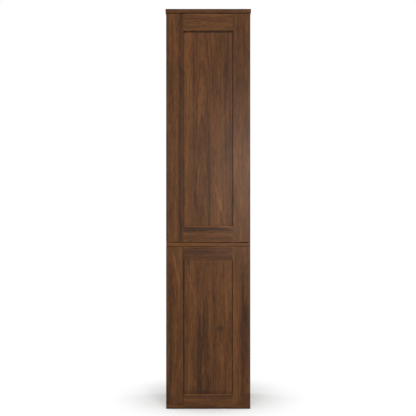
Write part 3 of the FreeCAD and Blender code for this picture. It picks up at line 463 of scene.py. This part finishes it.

# Lower door: a shorter frame and panel, made as the upper one is, with narrower rails and two hinges. Its
# leaves are toned darker, partly their own colour and partly painted shade for the light that fades towards
# the floor, and the panel has a small knot right of its middle. Its edges carry painted shade and painted
# highlights as the upper door's do.
walnut("lower_stile_left", "XYZ", 19, 0.41, (
    (-173, 11, 380, 400, 0, -0.22),
    (-146, 8, 640, 110, -12, 0.25),
    (-142, 8, 150, 120, 12, 0.2),
    (-178, 14, 120, 120, 6, -0.2),
    (-180, 24, 40, 48, 0, -0.22),
), arris_shading=(-0.12, -0.4), pith=(120, 60))
walnut("lower_stile_right", "XYZ", 20, 0.48, (
    (122, 14, 380, 500, 0, 0.12),
    (160, 24, 330, 330, 0, -0.25),
    (168, 15, 438, 70, 0, -0.25),
    (182, 16, 380, 420, 0, -0.14),
    (155, 16, 610, 150, 0, -0.16),
    (172, 24, 40, 48, 0, -0.22),
), arris_shading=(0.2, -0.05), pith=(-120, 60))
walnut("lower_rail_top", "ZYX", 21, 0.34, (
    (715, 20, -60, 120, 0, -0.2),
), arris_shading=(0.2, 0.4), pith=(90, 60))
walnut("lower_rail_bottom", "ZYX", 22, 0.41, (
    (57, 9, 0, 300, 0, -0.12),
    (36, 11, 0, 300, 0, 0.08),
), arris_shading=(0.35, 0.3), pith=(90, 60))
walnut("lower_panel", "XYZ", 23, 0.455, (
    (-40, 16, 190, 340, 0, -0.42),
    (-104, 8, 350, 420, 0, -0.12),
    (-59, 9, 400, 300, 0, 0.12),
    (-10, 24, 350, 420, 0, -0.2),
    (28, 11, 350, 420, 0, -0.12),
    (44, 9, 350, 420, 0, 0.1),
    (52, 30, 340, 70, 0, -0.12),
    (86, 22, 560, 200, 0, 0.12),
    (-6, 48, 150, 190, 0, -0.14),
    (-80, 8, 570, 110, -15, 0.14),
    (54, 22, 369, 18, 0, -0.2),
    (26, 8, 507, 28, 0, -0.15),
    # A painted highlight across the top of the panel, just under the rail, where it also lightens the rail's
    # shadow.
    (0, 400, 679, 9, 0, 0.2),
    # Painted shade across the foot of the panel, in the corner above the bottom rail.
    (0, 400, 74, 13, 0, -0.12),
), arris_shading=(-0.4, -0.65), hidden=panel_groove, pith=(10, 70), figure=0.2)

# Press-to-open latches: a moulded housing screwed under the top and the middle board, a plunger that a coil
# spring pushes against the door, and a small steel plate on the door's back for it to strike.
# Dark ABS from a spark-worn mould: an even matt grey. The mould's 0.2 mm grain is drawn at 0.6 mm to show.
housing_plastic = moulded("moulded_abs", "#454240", "#3A3735", 0.6, (0.42, 0.58), 0.35)
# Natural acetal: milky off-white, smooth and a little waxy. Its fine turning marks are drawn at
# 0.9 mm to show.
plunger_plastic = moulded("turned_acetal", "#D2D1CB", "#C4C3BC", 0.9, (0.28, 0.4), 0.1)
# Hard-drawn spring wire: darker and greyer than the plate, with a dull shine. The marks of the die are drawn
# at 0.5 mm to show.
spring_wire = metal("drawn_spring_wire", "#94908A", "#7B7873", 0.5, (0.3, 0.42), 0.2)
for bay in ("upper", "lower"):
    dress(f"{bay}_strike_plate", nickel_plate)
    dress(f"{bay}_latch_housing", housing_plastic)
    dress(f"{bay}_latch_plunger", plunger_plastic)
    # A copy of the coil spring, in spring wire, stands in its place and rides with the carcass.
    spring = nodes[f"{bay}_latch_spring"]
    coil = bpy.data.objects.new(f"{bay}_spring_coil", spring.data.copy())
    coil.data.materials.clear()
    coil.data.materials.append(spring_wire)
    bpy.context.scene.collection.objects.link(coil)
    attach(coil, "carcass")
    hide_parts(f"{bay}_latch_spring")
    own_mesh(coil)

# Floor: a wide flat sweep of matt white paper. Round the foot it keeps the cabinet's shadow, further away
# the eye, metal and lacquer see it as plain white, and right under the cabinet it is only paper.
floor_reach = 14
paper_rough = 0.9
# The shadow's oval has its middle a little behind the cabinet's, and is longest from front to back. It fades
# to white between two distances from there, and the cabinet's foot ends between two others, all in metres.
oval_shift = (0, -0.09, 0)
oval_scale = (1, 0.8, 1)
oval_fade = (0.2, 0.5)
least_white = 0.26
foot_edge = (0.188, 0.196)
mesh = bpy.data.meshes.new("floor")
corners = [(x * floor_reach, y * floor_reach, 0) for x, y in ((-1, -1), (1, -1), (1, 1), (-1, 1))]
mesh.from_pydata(corners, [], [(0, 1, 2, 3)])
floor = bpy.data.objects.new("floor", mesh)
bpy.context.scene.collection.objects.link(floor)
material, tree, shader = start_material("matt_white_paper")
shader.inputs["Base Color"].default_value = linear("#E7E7E7")
shader.inputs["Roughness"].default_value = paper_rough
shader.inputs["Specular IOR Level"].default_value = 0
seen = add(tree, "ShaderNodeTexCoord", {}).outputs["Object"]
oval = add(tree, "ShaderNodeMapping", {0: seen, "Location": oval_shift, "Scale": oval_scale}).outputs[0]
distance = add(tree, "ShaderNodeVectorMath", {0: oval}, operation="LENGTH").outputs["Value"]
fade = add(tree, "ShaderNodeMapRange", {
    "Value": distance, "From Min": oval_fade[0], "From Max": oval_fade[1], "To Min": least_white,
}, interpolation_type="SMOOTHSTEP").outputs[0]
mirrored = add(tree, "ShaderNodeVectorMath", {0: seen}, operation="ABSOLUTE").outputs[0]
sides = add(tree, "ShaderNodeSeparateXYZ", {0: mirrored}).outputs
beside = add(tree, "ShaderNodeMath", {0: sides["X"], 1: sides["Y"]}, operation="MAXIMUM").outputs[0]
clear = add(tree, "ShaderNodeMapRange", {
    "Value": beside, "From Min": foot_edge[0], "From Max": foot_edge[1],
}).outputs[0]
path = add(tree, "ShaderNodeLightPath", {}).outputs
direct = path["Is Camera Ray"]
for ray in ("Is Glossy Ray", "Is Transmission Ray"):
    direct = add(tree, "ShaderNodeMath", {0: direct, 1: path[ray]}, operation="MAXIMUM").outputs[0]
share = add(tree, "ShaderNodeMath", {0: fade, 1: direct}, operation="MULTIPLY").outputs[0]
share = add(tree, "ShaderNodeMath", {0: share, 1: clear}, operation="MULTIPLY").outputs[0]
white = add(tree, "ShaderNodeEmission", {"Color": linear("#FFFFFF"), "Strength": 1}).outputs[0]
mix = add(tree, "ShaderNodeMixShader", {0: share, 1: shader.outputs[0], 2: white}).outputs[0]
tree.links.new(mix, tree.nodes["Material Output"].inputs["Surface"])
floor.data.materials.append(material)

# Light: an even pale room that is white to the camera, and to a reflection white behind the cabinet and grey
# behind the camera. A large soft lamp hangs above and in front, a soft box beside the camera gives the right
# of the doors its sheen, and two fill lamps stand beside and behind.
room_level = 0.45
# The grey seen in reflections, and the headings to the rear between which it turns white.
grey_level = 0.3
grey_to_white = (-0.7, 0.2)
world = bpy.data.worlds.new("studio")
bpy.context.scene.world = world
world.use_nodes = True
tree = world.node_tree
path = add(tree, "ShaderNodeLightPath", {}).outputs
heading = add(tree, "ShaderNodeTexCoord", {}).outputs["Generated"]
depth = add(tree, "ShaderNodeSeparateXYZ", {0: heading}).outputs["Y"]
backdrop = add(tree, "ShaderNodeMapRange", {
    "Value": depth,
    "From Min": grey_to_white[0],
    "From Max": grey_to_white[1],
    "To Min": grey_level,
    "To Max": 1,
}, interpolation_type="SMOOTHSTEP").outputs[0]
plain = add(tree, "ShaderNodeMath", {
    0: path["Is Camera Ray"], 1: path["Is Transmission Ray"],
}, operation="MAXIMUM").outputs[0]
level = add(tree, "ShaderNodeMapRange", {"Value": plain, "To Min": room_level, "To Max": 1}).outputs[0]
strength = add(tree, "ShaderNodeMix", {0: path["Is Glossy Ray"], 2: level, 3: backdrop}).outputs[0]
tree.links.new(strength, tree.nodes["Background"].inputs["Strength"])
tree.nodes["Background"].inputs["Color"].default_value = linear("#FFFFFF")
# Each lamp's place and aim, width and height in metres, and power in watts.
lamps = (
    ("overhead_lamp", (0, -3.3, 4.1), (0, -0.1, 0.9), 1.8, 1.8, 99),
    ("soft_box", (0.62, -3.3, 1.22), (0.1, -0.19, 1.05), 0.5, 0.8, 29.5),
    ("left_fill", (-3.2, 1.3, 2.4), (0, 0, 0.9), 1.8, 1.8, 45),
    ("right_fill", (3.2, 1.3, 2.4), (0, 0, 0.9), 1.8, 1.8, 45),
)
for name, place, aim, wide, high, power in lamps:
    lamp = bpy.data.lights.new(name, "AREA")
    lamp.shape = "RECTANGLE"
    lamp.size = wide
    lamp.size_y = high
    lamp.energy = power
    holder = bpy.data.objects.new(name, lamp)
    bpy.context.scene.collection.objects.link(holder)
    holder.location = place
    holder.rotation_euler = (Vector(aim) - Vector(place)).to_track_quat("-Z", "Y").to_euler()
bpy.context.scene.view_settings.view_transform = "Standard"

# Camera: level and straight on, at the cabinet's mid height and four and a half metres from its doors, with
# a long lens, so that the front fills the picture's height and no side shows.
view = bpy.data.cameras.new("camera")
view.sensor_width = 36
view.lens = 85.11
eye = bpy.data.objects.new("camera", view)
bpy.context.scene.collection.objects.link(eye)
eye.location = (-0.0011, -4.69, 0.919)
eye.rotation_euler = (math.pi / 2, 0, 0)
bpy.context.scene.camera = eye
